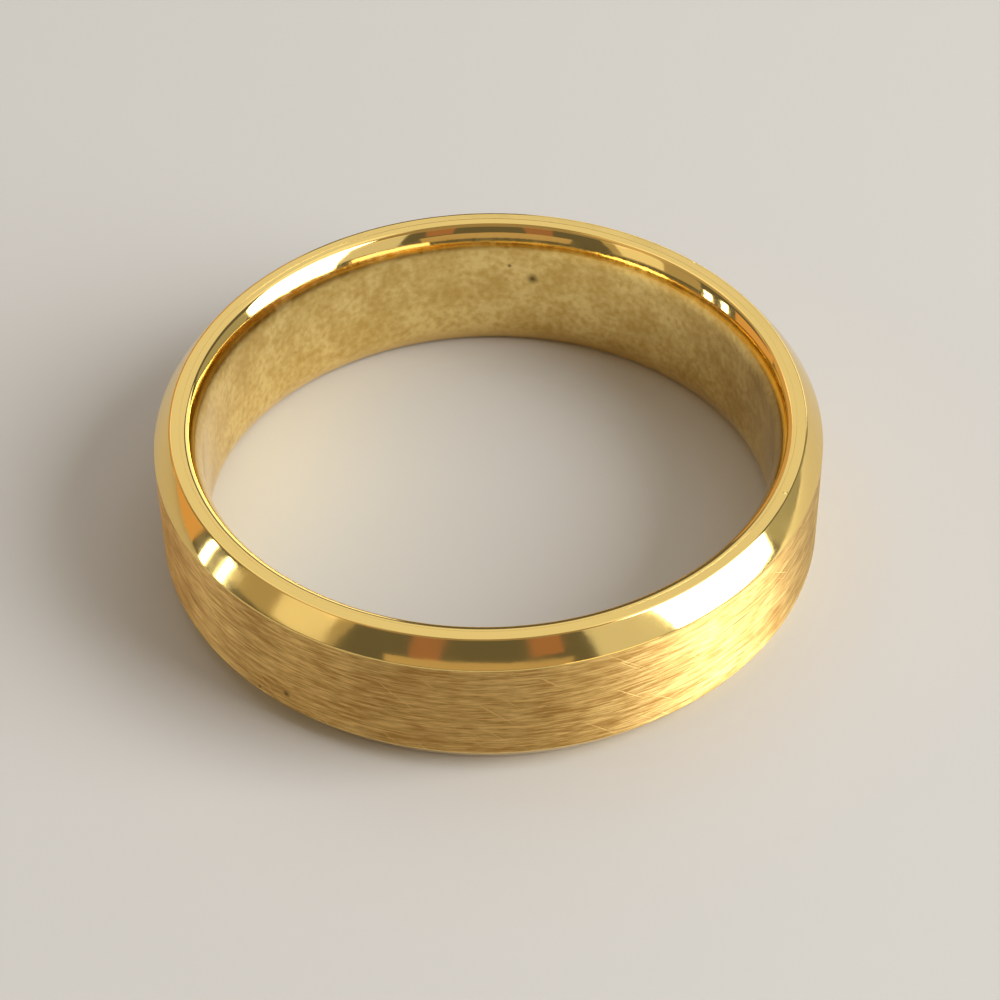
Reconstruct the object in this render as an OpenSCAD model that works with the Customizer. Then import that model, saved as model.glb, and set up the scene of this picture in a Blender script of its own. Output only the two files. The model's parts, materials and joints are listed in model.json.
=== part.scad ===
// Wedding band, size 7 1/2: a brushed outer band with polished bevels, lined
// by a thin comfort-fit sleeve. It lies on its lower rim, the finger hole
// along +Z, with the origin at the centre of that rim. Millimetres.

/* [Band] */
// Outside diameter over the brushed wall
band_od = 20.7; // [20.5:0.1:24]
// Width of the band, from rim to rim
band_w = 5; // [4:0.25:8]
// Diameter of the finger hole where it is narrowest
bore_d = 17.75; // [15:0.05:17.9]

/* [Polished bevels] */
// How far each bevel leans in from the brushed wall
bevel_run = 0.55; // [0.3:0.05:0.6]
// How far each bevel comes down the wall from its rim
bevel_drop = 0.75; // [0.4:0.05:1]
// Radius of the slight crown across each bevel
bevel_radius = 6; // [3:0.5:20]

/* [Comfort-fit sleeve] */
// How far each eased edge opens out from the finger hole
ease_run = 0.42; // [0.3:0.02:0.5]
// Radius of each eased edge, seen in a cut across the band
ease_radius = 1.8; // [1.2:0.1:3]
// Width of the sleeve's flat, between its eased edge and the seam
sleeve_land = 0.2; // [0.05:0.05:0.3]

/* [Smoothness] */
// Segments round the band when it is drawn
round_segments = 180; // [96:12:360]
// Segments in a full circle of the bevels' or the eased edges' radius
arc_segments = 96; // [48:12:180]

/* [Hidden] */

wall_r = band_od / 2;
rim_r = wall_r - bevel_run;
bore_r = bore_d / 2;
seam_r = bore_r + ease_run + sleeve_land;

// How far each eased edge reaches into the finger hole before it runs
// straight: the height of an arc that spreads by ease_run.
ease_drop = sqrt(ease_run * (2 * ease_radius - ease_run));

// How far back from the middle of a bevel the centre of its crown lies, and
// the angle between the horizontal and the way the bevel faces.
bevel_chord = norm([bevel_run, bevel_drop]);
crown_setback = sqrt(pow(bevel_radius, 2) - pow(bevel_chord / 2, 2));
bevel_lean = atan2(bevel_run, bevel_drop);

brushed_gold = "goldenrod";
polished_gold = "gold";

// What one bevel takes off a corner of the wall: all that lies outside a
// disc whose edge is the bevel's slight crown. End is 1 or -1, up or down.
module bevel_cut(end) {
    margin = 0.2;
    bevel_r = wall_r - bevel_run / 2;
    bevel_rise = (band_w - bevel_drop) / 2;
    difference() {
        translate([bevel_r, band_w / 2 + end * bevel_rise])
            square([bevel_run + 2 * margin, bevel_drop + 2 * margin], center = true);
        translate([
            bevel_r - crown_setback * cos(bevel_lean),
            band_w / 2 + end * (bevel_rise - crown_setback * sin(bevel_lean))
        ])
            circle(r = bevel_radius, $fn = arc_segments);
    }
}

// The band that shows from outside: a wall between two bevels and two flat
// rims, bored straight through for the sleeve.
module outer_band() {
    color(brushed_gold)
        rotate_extrude($fn = round_segments)
            difference() {
                translate([seam_r, 0])
                    square([wall_r - seam_r, band_w]);
                bevel_cut(1);
                bevel_cut(-1);
            }
}

// A disc whose innermost point touches the finger hole at one height.
module easing_disc(height) {
    translate([bore_r + ease_radius, height])
        circle(r = ease_radius, $fn = arc_segments);
}

// The liner, flush with both rims. Its inner edges are arcs that open out
// from the straight middle of the finger hole.
module comfort_fit_sleeve() {
    wall = seam_r - bore_r;
    color(polished_gold)
        rotate_extrude($fn = round_segments)
            intersection() {
                translate([bore_r, 0])
                    square([wall, band_w]);
                union() {
                    easing_disc(ease_drop);
                    easing_disc(band_w - ease_drop);
                    translate([bore_r, ease_drop])
                        square([wall, band_w - 2 * ease_drop]);
                }
            }
}

outer_band();
comfort_fit_sleeve();
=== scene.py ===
"""A brushed wedding band with polished bevels and a comfort-fit sleeve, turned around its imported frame."""

import json
from math import asin, atan2, cos, hypot, pi, radians, sin, tan

import bpy
from mathutils import Matrix, Vector


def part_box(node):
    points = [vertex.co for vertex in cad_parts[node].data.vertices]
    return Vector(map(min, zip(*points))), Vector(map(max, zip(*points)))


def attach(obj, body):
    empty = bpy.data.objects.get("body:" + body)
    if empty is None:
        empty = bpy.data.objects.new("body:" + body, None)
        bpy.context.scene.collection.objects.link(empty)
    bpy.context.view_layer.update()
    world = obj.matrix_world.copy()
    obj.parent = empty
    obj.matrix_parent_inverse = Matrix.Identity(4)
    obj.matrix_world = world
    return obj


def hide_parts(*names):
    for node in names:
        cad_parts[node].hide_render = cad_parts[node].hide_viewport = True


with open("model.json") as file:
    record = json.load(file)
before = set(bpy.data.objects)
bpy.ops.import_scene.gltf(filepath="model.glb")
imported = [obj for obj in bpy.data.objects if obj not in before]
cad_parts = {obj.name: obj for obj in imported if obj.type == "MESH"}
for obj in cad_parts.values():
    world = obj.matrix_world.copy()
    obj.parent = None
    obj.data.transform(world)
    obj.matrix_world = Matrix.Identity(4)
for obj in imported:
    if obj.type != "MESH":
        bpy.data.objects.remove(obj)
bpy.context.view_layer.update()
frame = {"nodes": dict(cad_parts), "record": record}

MM = 0.001

# ---- Sizes, from the frame ----

SAME = 0.002 * MM  # two sizes closer than this are one size


def outline_points(node):
    """The (radius, height) of every corner of a CAD node."""
    return [(hypot(v.co.x, v.co.y), v.co.z) for v in frame["nodes"][node].data.vertices]


band_points = outline_points("outer_band")
sleeve_points = outline_points("comfort_fit_sleeve")
finger_bore = next(m for m in frame["record"]["mounts"] if m["name"] == "finger_bore")

base_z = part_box("outer_band")[0].z
top_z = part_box("outer_band")[1].z
wall_r = max(r for r, z in band_points)
rim_r = max(r for r, z in band_points if z > top_z - SAME)
wall_top_z = max(z for r, z in band_points if r > wall_r - SAME)
wall_base_z = base_z + top_z - wall_top_z
seam_r = max(r for r, z in sleeve_points)
ease_r = min(r for r, z in sleeve_points if z > top_z - SAME)
bore_r = finger_bore["dims"]["r_mm"] * MM
ease_drop = (top_z - base_z - finger_bore["dims"]["length_mm"] * MM) / 2

# ---- Sizes that the frame doesn't hold ----

BEVEL_RADIUS = 6 * MM  # buffing has crowned the bevels a little
WALL_BREAK = 0.12 * MM  # the edge between wall and bevel
RIM_BREAK = 0.12 * MM  # the edge between bevel and rim, softened by buffing
CREST_BREAK = 0.28 * MM  # the edge where the rim rolls over into the eased edge
SEAM_BREAK = 0.005 * MM  # each side of the hairline seam

# ---- How finely the band is turned ----

SEGMENTS = 720
BREAK_STEPS = 6  # rings across each broken edge
BEVEL_STEPS = 10  # rings across each bevel
RIM_BREAK_TAKES = 2  # the bevel's first rings, which its broken edge at the rim takes the place of
EASE_STEPS = 14  # rings across each eased edge
CREST_BREAK_TAKES = 3  # the eased edge's first rings, which the rolled crest takes the place of
HOLDING_RING = 0.015 * MM  # a ring this far past each broken edge keeps the flats flat
WELD = 0.0005 * MM  # rings closer than this are merged
SMOOTH_UP_TO = 30  # degrees between faces that are shaded as one surface


# ---- Turning ----

def broken_corner(before, corner, after, radius):
    """A corner of the outline rounded to a radius, with a holding ring on either side."""
    to_before = (Vector(before) - Vector(corner)).normalized()
    to_after = (Vector(after) - Vector(corner)).normalized()
    half_angle = to_before.angle(to_after) / 2
    setback = radius / tan(half_angle)
    centre = Vector(corner) + (to_before + to_after).normalized() * radius / sin(half_angle)
    arc_start = Vector(corner) + to_before * setback
    arc_end = Vector(corner) + to_after * setback
    first_spoke = (arc_start - centre).normalized()
    last_spoke = (arc_end - centre).normalized()
    arc = []
    for step in range(BREAK_STEPS + 1):
        arc.append(centre + radius * first_spoke.slerp(last_spoke, step / BREAK_STEPS))
    hold_before = Vector(corner) + to_before * (setback + HOLDING_RING)
    hold_after = Vector(corner) + to_after * (setback + HOLDING_RING)
    return [tuple(p) for p in (hold_before, *arc, hold_after)]


def turned(name, outline):
    """Turns a closed outline of (radius, height) points round Z, one extruded ring after another."""
    bpy.ops.object.select_all(action="DESELECT")
    radius, height = outline[0]
    bpy.ops.mesh.primitive_circle_add(vertices=SEGMENTS, radius=radius, location=(0, 0, height))
    piece = bpy.context.object
    piece.name = piece.data.name = name
    bpy.ops.object.transform_apply()
    bpy.ops.object.mode_set(mode="EDIT")
    bpy.ops.mesh.select_all(action="SELECT")
    for next_radius, next_height in [*outline[1:], outline[0]]:
        bpy.ops.mesh.extrude_edges_move(TRANSFORM_OT_translate={"value": (0, 0, next_height - height)})
        scale = next_radius / radius
        bpy.ops.transform.resize(value=(scale, scale, 1))
        radius, height = next_radius, next_height
    bpy.ops.mesh.select_all(action="SELECT")
    bpy.ops.mesh.remove_doubles(threshold=WELD)
    bpy.ops.mesh.normals_make_consistent(inside=False)
    bpy.ops.object.mode_set(mode="OBJECT")
    bpy.ops.object.shade_smooth_by_angle(angle=radians(SMOOTH_UP_TO))
    return piece


def both_ends(lower):
    """The outline's lower half with its mirror image above it."""
    return [*lower, *[(r, base_z + top_z - z) for r, z in reversed(lower)]]


def crowned_bevel():
    """The lower bevel from rim to wall: an arc that turns through the same angle in every step."""
    run, rise = wall_r - rim_r, wall_base_z - base_z
    half_turn = asin(hypot(run, rise) / 2 / BEVEL_RADIUS)
    setback = BEVEL_RADIUS * cos(half_turn)
    lean = atan2(-run, rise)
    centre_r, centre_z = rim_r + run / 2 - setback * cos(lean), base_z + rise / 2 - setback * sin(lean)
    arc = []
    for step in range(BEVEL_STEPS + 1):
        angle = lean + half_turn * (2 * step / BEVEL_STEPS - 1)
        arc.append((centre_r + BEVEL_RADIUS * cos(angle), centre_z + BEVEL_RADIUS * sin(angle)))
    return arc


def outer_band_outline():
    seam, bevel = (seam_r, base_z), crowned_bevel()
    lower = [
        *broken_corner((seam_r, top_z), seam, bevel[0], SEAM_BREAK),
        *broken_corner(seam, bevel[0], bevel[RIM_BREAK_TAKES], RIM_BREAK),
        *bevel[RIM_BREAK_TAKES:-1],
        *broken_corner(bevel[-2], bevel[-1], (wall_r, wall_top_z), WALL_BREAK),
    ]
    return both_ends(lower)


def sleeve_outline():
    """At each end an arc opens the finger hole out to a crest at the rim."""
    ease_run = ease_r - bore_r
    ease_radius = (ease_run**2 + ease_drop**2) / (2 * ease_run)
    steepest = asin(ease_drop / ease_radius)
    eased = []
    for step in range(EASE_STEPS + 1):
        angle = steepest * (1 - step / EASE_STEPS)
        spread = ease_radius * (1 - cos(angle))
        eased.append((bore_r + spread, base_z + ease_drop - ease_radius * sin(angle)))
    seam, crest = (seam_r, base_z), eased[0]
    lower = [
        *broken_corner((seam_r, top_z), seam, crest, SEAM_BREAK),
        *broken_corner(seam, crest, eased[CREST_BREAK_TAKES], CREST_BREAK),
        *eased[CREST_BREAK_TAKES:],
    ]
    return both_ends(lower)


# ---- Materials ----

# Small nicks from wear: each has an azimuth in degrees, then a radius, a height and a size in millimetres.
WALL_NICKS = [(234, 10.35, 1.3, 0.16), (228, 10.35, 0.9, 0.09)]
BAND_NICKS = [(336, 9.7, 5, 0.09), (352, 10.2, 4.45, 0.12), (46, 9.85, 4.95, 0.14), (33, 9.85, 4.95, 0.1)]
SLEEVE_NICKS = [(95, 9, 0.2, 0.14), (85, 8.875, 3.5, 0.1), (80, 8.875, 3, 0.26)]
NICK_DEPTH = 0.02 * MM
# Painted shade: the dents of the wall and sleeve nicks are painted this dark colour.
NICK_SHADE_COLOUR = "#5E431C"

POLISHED_COLOUR = "#F3D17E"
ORANGE_PEEL_MM = 0.9  # the slow ripple that buffing leaves
SCRATCH_SLANT = 40  # degrees from the brushing


def linear(hex_colour):
    """An sRGB hex colour as the linear numbers that a shader takes."""
    channels = [int(hex_colour[i : i + 2], 16) / 255 for i in (1, 3, 5)]
    return (*[c / 12.92 if c <= 0.04045 else ((c + 0.055) / 1.055) ** 2.4 for c in channels], 1)


def per_metre(size_mm):
    """The scale of a pattern whose features are that many millimetres across."""
    return 1 / (size_mm * MM)


def add(tree, kind, inputs=None, **settings):
    """Adds one node. An input is a value, an output that feeds it, or a node whose first output does."""
    new = tree.nodes.new(kind)
    for name, value in settings.items():
        setattr(new, name, value)
    for socket, value in (inputs or {}).items():
        if isinstance(value, bpy.types.Node):
            value = value.outputs[0]
        if isinstance(value, bpy.types.NodeSocket):
            tree.links.new(value, new.inputs[socket])
        else:
            new.inputs[socket].default_value = value
    return new


def new_material(name):
    material = bpy.data.materials.new(name)
    material.use_nodes = True
    material.node_tree.nodes.clear()
    return material, material.node_tree


def from_axis(tree, place):
    """The distance of a place from the band's axis."""
    xyz = add(tree, "ShaderNodeSeparateXYZ", {0: place}).outputs
    flat = add(tree, "ShaderNodeCombineXYZ", {0: xyz[0], 1: xyz[1]})
    return add(tree, "ShaderNodeVectorMath", {0: flat}, operation="LENGTH").outputs["Value"]


def lathe_lines(tree, place, across_mm, along_mm, waver=0.0):
    """Noise drawn out into lines that run round the band, on walls, bevels and rims alike."""
    # A wheel's real lines are about 0.02 mm apart. That is too fine to show, so they are drawn coarser.
    across, along = per_metre(across_mm), per_metre(along_mm)
    turns = add(tree, "ShaderNodeMath", {0: from_axis(tree, place), 1: across}, operation="MULTIPLY")
    drawn = add(tree, "ShaderNodeVectorMath", {0: place, 1: (along, along, across)}, operation="MULTIPLY")
    lines = {"Vector": drawn, "W": turns, "Scale": 1, "Detail": 3, "Distortion": waver}
    return add(tree, "ShaderNodeTexNoise", lines, noise_dimensions="4D")


def stray_scratches(tree, place):
    """A mask for the few faint scratches that slant across the brushing. The wall is taken as unrolled."""
    xyz = add(tree, "ShaderNodeSeparateXYZ", {0: place}).outputs
    turn = add(tree, "ShaderNodeMath", {0: xyz[1], 1: xyz[0]}, operation="ARCTAN2")
    arc = add(tree, "ShaderNodeMath", {0: turn, 1: wall_r}, operation="MULTIPLY")
    wall = add(tree, "ShaderNodeCombineXYZ", {0: arc, 1: xyz[2]})
    slant = {"Vector": wall, "Angle": radians(SCRATCH_SLANT)}
    slanted = add(tree, "ShaderNodeVectorRotate", slant, rotation_type="Z_AXIS")
    run, hairline = per_metre(2.5), per_metre(0.09)
    drawn = add(tree, "ShaderNodeVectorMath", {0: slanted, 1: (run, hairline, 0)}, operation="MULTIPLY")
    lines = add(tree, "ShaderNodeTexNoise", {"Vector": drawn, "Scale": 1, "Detail": 1})
    return add(tree, "ShaderNodeMapRange", {0: lines, 1: 0.67, 2: 0.75, 4: 0.9})


def dents(tree, place, nicks):
    """A mask that rises from 0 around each nick to 1 at its middle."""
    mask = 0
    for azimuth, radius, height, size in nicks:
        x, y = radius * cos(radians(azimuth)), radius * sin(radians(azimuth))
        at_nick = {0: place, 1: Vector((x, y, height)) * MM}
        away = add(tree, "ShaderNodeVectorMath", at_nick, operation="DISTANCE").outputs["Value"]
        dent = add(tree, "ShaderNodeMapRange", {0: away, 1: 0, 2: size * MM, 3: 1, 4: 0})
        mask = add(tree, "ShaderNodeMath", {0: mask, 1: dent}, operation="MAXIMUM")
    return mask


def polished_gold(name):
    """14 ct yellow gold, buffed to a mirror: clear reflections, a trace of orange peel and a few nicks."""
    material, tree = new_material(name)
    place = add(tree, "ShaderNodeTexCoord").outputs["Object"]
    peel = add(tree, "ShaderNodeTexNoise", {"Vector": place, "Scale": per_metre(ORANGE_PEEL_MM), "Detail": 2})
    peeled = add(tree, "ShaderNodeBump", {"Height": peel, "Distance": 0.0035 * MM})
    lines = lathe_lines(tree, place, 0.06, 5)
    buffed = add(tree, "ShaderNodeBump", {"Height": lines, "Distance": 0.0001 * MM, "Normal": peeled})
    nicks = dents(tree, place, BAND_NICKS)
    nicked = {"Height": nicks, "Distance": NICK_DEPTH, "Normal": buffed}
    normal = add(tree, "ShaderNodeBump", nicked, invert=True)
    smudge = add(tree, "ShaderNodeTexNoise", {"Vector": place, "Scale": per_metre(1.6), "Detail": 4})
    rough = add(tree, "ShaderNodeMapRange", {0: smudge, 1: 0.35, 2: 0.75, 3: 0.05, 4: 0.15})
    gold = add(tree, "ShaderNodeBsdfPrincipled", {
        "Base Color": linear(POLISHED_COLOUR), "Metallic": 1, "Roughness": rough, "Normal": normal})
    add(tree, "ShaderNodeOutputMaterial", {0: gold})
    return material


def worn_gold(name):
    """14 ct yellow gold, polished once: bright along the crest, hazed and spotted inside the finger hole."""
    material, tree = new_material(name)
    place = add(tree, "ShaderNodeTexCoord").outputs["Object"]
    up_the_ease = {0: from_axis(tree, place), 1: bore_r + 0.02 * MM, 2: bore_r + 0.22 * MM, 3: 1, 4: 0}
    wear = add(tree, "ShaderNodeMapRange", up_the_ease)
    spots = add(tree, "ShaderNodeTexNoise", {"Vector": place, "Scale": per_metre(0.22), "Detail": 3})
    smudge = add(tree, "ShaderNodeTexNoise", {"Vector": place, "Scale": per_metre(1.4), "Detail": 4})
    both = add(tree, "ShaderNodeMath", {0: spots, 1: smudge}, operation="MULTIPLY")
    haze = add(tree, "ShaderNodeMapRange", {0: both, 1: 0.15, 2: 0.38, 3: 0.1, 4: 0.24})
    rough = add(tree, "ShaderNodeMix", {0: wear, 2: 0.06, 3: haze})
    bright = add(tree, "ShaderNodeMapRange", {0: both, 1: 0.14, 2: 0.36})
    hazed = {0: bright, 6: linear("#D9B768"), 7: linear("#FADF94")}
    hazed_colour = add(tree, "ShaderNodeMix", hazed, data_type="RGBA").outputs[2]
    worn = {0: wear, 6: linear(POLISHED_COLOUR), 7: hazed_colour}
    worn_colour = add(tree, "ShaderNodeMix", worn, data_type="RGBA").outputs[2]
    # Painted shade: each nick is darkened towards the nick shade colour.
    nick_shaded = {0: dents(tree, place, SLEEVE_NICKS), 6: worn_colour, 7: linear(NICK_SHADE_COLOUR)}
    colour = add(tree, "ShaderNodeMix", nick_shaded, data_type="RGBA").outputs[2]
    peel = add(tree, "ShaderNodeTexNoise", {"Vector": place, "Scale": per_metre(ORANGE_PEEL_MM), "Detail": 2})
    peeled = add(tree, "ShaderNodeBump", {"Height": peel, "Distance": 0.0025 * MM})
    spotted = {"Height": spots, "Distance": 0.005 * MM, "Strength": wear, "Normal": peeled}
    normal = add(tree, "ShaderNodeBump", spotted)
    gold = add(tree, "ShaderNodeBsdfPrincipled", {
        "Base Color": colour, "Metallic": 1, "Roughness": rough, "Normal": normal})
    add(tree, "ShaderNodeOutputMaterial", {0: gold})
    return material


def brushed_gold(name):
    """14 ct yellow gold, brushed with a fibre wheel: wavering lines round the wall and an upright sheen."""
    material, tree = new_material(name)
    place = add(tree, "ShaderNodeTexCoord").outputs["Object"]
    fine = lathe_lines(tree, place, 0.045, 0.6, waver=0.4)
    coarse = lathe_lines(tree, place, 0.11, 1.5, waver=0.8)
    both = add(tree, "ShaderNodeMath", {0: fine, 1: coarse}, operation="MULTIPLY")
    patch = add(tree, "ShaderNodeTexNoise", {"Vector": place, "Scale": per_metre(0.9), "Detail": 4})
    shade = add(tree, "ShaderNodeMapRange", {0: patch, 1: 0.3, 2: 0.7, 3: -0.04, 4: 0.04})
    worked = add(tree, "ShaderNodeMath", {0: both, 1: shade}, operation="ADD")
    # The brushing lines are bumped and also painted lighter and darker: painted shade and painted highlight
    # along the lines.
    brush_shade_and_highlight = add(tree, "ShaderNodeMapRange", {0: worked, 1: 0.14, 2: 0.36})
    scratches = stray_scratches(tree, place)
    # Painted glint: the stray scratches are painted lighter than the brushing round them.
    bright = add(tree, "ShaderNodeMath", {0: brush_shade_and_highlight, 1: scratches}, operation="MAXIMUM")
    drawn = {0: bright, 6: linear("#B98D48"), 7: linear("#F2CF84")}
    line_shaded_colour = add(tree, "ShaderNodeMix", drawn, data_type="RGBA").outputs[2]
    nicks = dents(tree, place, WALL_NICKS)
    # Painted shade: each nick is darkened towards the nick shade colour.
    nick_shaded = {0: nicks, 6: line_shaded_colour, 7: linear(NICK_SHADE_COLOUR)}
    colour = add(tree, "ShaderNodeMix", nick_shaded, data_type="RGBA").outputs[2]
    rough = add(tree, "ShaderNodeMapRange", {0: coarse, 1: 0.3, 2: 0.7, 3: 0.45, 4: 0.56})
    lined = add(tree, "ShaderNodeBump", {"Height": fine, "Distance": 0.003 * MM})
    scored = add(tree, "ShaderNodeBump", {"Height": coarse, "Distance": 0.005 * MM, "Normal": lined})
    scratched = {"Height": scratches, "Distance": 0.004 * MM, "Normal": scored}
    cut = add(tree, "ShaderNodeBump", scratched, invert=True)
    nicked = {"Height": nicks, "Distance": NICK_DEPTH, "Normal": cut}
    normal = add(tree, "ShaderNodeBump", nicked, invert=True)
    around = add(tree, "ShaderNodeTangent", direction_type="RADIAL", axis="Z")
    gold = add(tree, "ShaderNodeBsdfPrincipled", {
        "Base Color": colour, "Metallic": 1, "Roughness": rough, "Anisotropic": 0.92,
        "Anisotropic Rotation": 0.25, "Tangent": around, "Normal": normal})
    add(tree, "ShaderNodeOutputMaterial", {0: gold})
    return material


# ---- The two pieces ----

POLISHED, BRUSHED = 0, 1  # the outer band's material slots
WALL_TILT = 0.1  # the sine of the slope up to which a face counts as wall

outer_band = turned("outer_band_turned", outer_band_outline())
outer_band.data.materials.append(polished_gold("polished_14ct_yellow_gold"))
outer_band.data.materials.append(brushed_gold("brushed_14ct_yellow_gold"))
for face in outer_band.data.polygons:
    on_wall = abs(face.normal.z) < WALL_TILT and hypot(*face.center.xy) > rim_r
    face.material_index = BRUSHED if on_wall else POLISHED

sleeve = turned("comfort_fit_sleeve_turned", sleeve_outline())
sleeve.data.materials.append(worn_gold("worn_14ct_yellow_gold"))

for piece, node, slot in (
    (outer_band, "outer_band", "brushed_yellow_gold"),
    (sleeve, "comfort_fit_sleeve", "polished_yellow_gold"),
):
    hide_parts(node)
    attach(piece, "root")

# ---- Studio ----

FLOOR_SIDE = 3
ROOM_GLOW = 0.14


def pale_paper(name):
    """Pale uncoated paper: even, with no shine."""
    material, tree = new_material(name)
    paper = add(tree, "ShaderNodeBsdfPrincipled", {"Base Color": linear("#BBB8B1"), "Roughness": 0.7})
    add(tree, "ShaderNodeOutputMaterial", {0: paper})
    return material


bpy.ops.object.select_all(action="DESELECT")
bpy.ops.mesh.primitive_plane_add(size=FLOOR_SIDE, location=(0, 0, base_z))
floor = bpy.context.object
floor.name = "studio_floor"
floor.data.materials.append(pale_paper("pale_paper_floor"))

band_middle = Vector((0, 0, (base_z + top_z) / 2))


def from_middle(azimuth, elevation, distance):
    """A point seen from the band's middle. Azimuth 0 is +X, and 90 is +Y, away from the camera."""
    a, e = radians(azimuth), radians(elevation)
    return band_middle + distance * Vector((cos(a) * cos(e), sin(a) * cos(e), sin(e)))


def softbox(name, azimuth, elevation, width, height, glow, colour="#FFFFFF", distance=0.5):
    """A rectangular light that faces the band. Glow is its brightness, whatever its size."""
    lamp = bpy.data.lights.new(name, "AREA")
    lamp.shape = "RECTANGLE"
    lamp.size, lamp.size_y = width, height
    lamp.energy = glow * pi * width * height
    lamp.color = linear(colour)[:3]
    box = bpy.data.objects.new(name, lamp)
    bpy.context.scene.collection.objects.link(box)
    box.location = from_middle(azimuth, elevation, distance)
    box.rotation_euler = (band_middle - box.location).to_track_quat("-Z", "Y").to_euler()


softbox("window_right", azimuth=-15, elevation=28, width=0.36, height=0.46, glow=9.5, colour="#F4F8FF")
softbox("ceiling", azimuth=90, elevation=68, width=0.8, height=0.75, glow=0.72, distance=0.6)
softbox("ceiling_front", azimuth=270, elevation=60, width=1.1, height=0.4, glow=0.22, colour="#FFDDB0")
softbox("ceiling_left", azimuth=178, elevation=50, width=0.55, height=0.3, glow=0.32, colour="#FFE6C4")
softbox("ceiling_right", azimuth=6, elevation=62, width=0.4, height=0.25, glow=0.32)
softbox("pane_left_a", azimuth=175, elevation=7, width=0.026, height=0.13, glow=9, colour="#F4F8FF")
softbox("pane_left_b", azimuth=183, elevation=7, width=0.026, height=0.13, glow=9, colour="#F4F8FF")
softbox("lamp_left_back", azimuth=158, elevation=8, width=0.2, height=0.18, glow=0.6, colour="#FFBC66")
softbox("fill_left_back", azimuth=124, elevation=21, width=0.4, height=0.3, glow=0.5, colour="#FFC983")
softbox("fill_left", azimuth=205, elevation=20, width=0.33, height=0.22, glow=0.34, colour="#F4DDB4")
softbox("card_left", azimuth=211, elevation=22, width=0.15, height=0.22, glow=0.5)
softbox("card_front_a", azimuth=250, elevation=30, width=0.08, height=0.17, glow=0.34, colour="#D0703A")
softbox("card_front_b", azimuth=287, elevation=31, width=0.08, height=0.15, glow=0.38, colour="#D4763F")
softbox("card_front_low", azimuth=266, elevation=15, width=0.5, height=0.11, glow=0.4, colour="#FFDDB0")
softbox("card_front_right", azimuth=313, elevation=24, width=0.2, height=0.25, glow=0.6)
softbox("low_front_right", azimuth=305, elevation=4, width=0.26, height=0.08, glow=2.1, colour="#FFE9BE")
softbox("strip_back", azimuth=66, elevation=15, width=0.38, height=0.2, glow=1.3)
softbox("fill_back", azimuth=22, elevation=12, width=0.29, height=0.24, glow=0.3, colour="#EEF2E6")

world = bpy.data.worlds.new("dim_studio")
world.use_nodes = True
room = world.node_tree.nodes["Background"]
room.inputs["Color"].default_value = linear("#FFFAF0")
room.inputs["Strength"].default_value = ROOM_GLOW
bpy.context.scene.world = world
bpy.context.scene.view_settings.view_transform = "Standard"

# ---- Camera ----

LENS_MM = 101.5
SENSOR_MM = 36
CAMERA_ELEVATION = 43.6  # degrees, as is the roll
CAMERA_ROLL = -0.93
CAMERA_AIM = Vector((0.33, -1.47, 2.5)) * MM
CAMERA_DISTANCE = 87.6 * MM
NEAR_CLIP = 5 * MM

lens = bpy.data.cameras.new("camera")
lens.sensor_width = SENSOR_MM
lens.lens = LENS_MM
lens.clip_start = NEAR_CLIP
camera = bpy.data.objects.new("camera", lens)
bpy.context.scene.collection.objects.link(camera)
tilt = Matrix.Rotation(radians(90 - CAMERA_ELEVATION), 4, "X") @ Matrix.Rotation(radians(CAMERA_ROLL), 4, "Z")
back = Vector((0, -cos(radians(CAMERA_ELEVATION)), sin(radians(CAMERA_ELEVATION))))
camera.matrix_world = Matrix.Translation(CAMERA_AIM + CAMERA_DISTANCE * back) @ tilt
bpy.context.scene.camera = camera
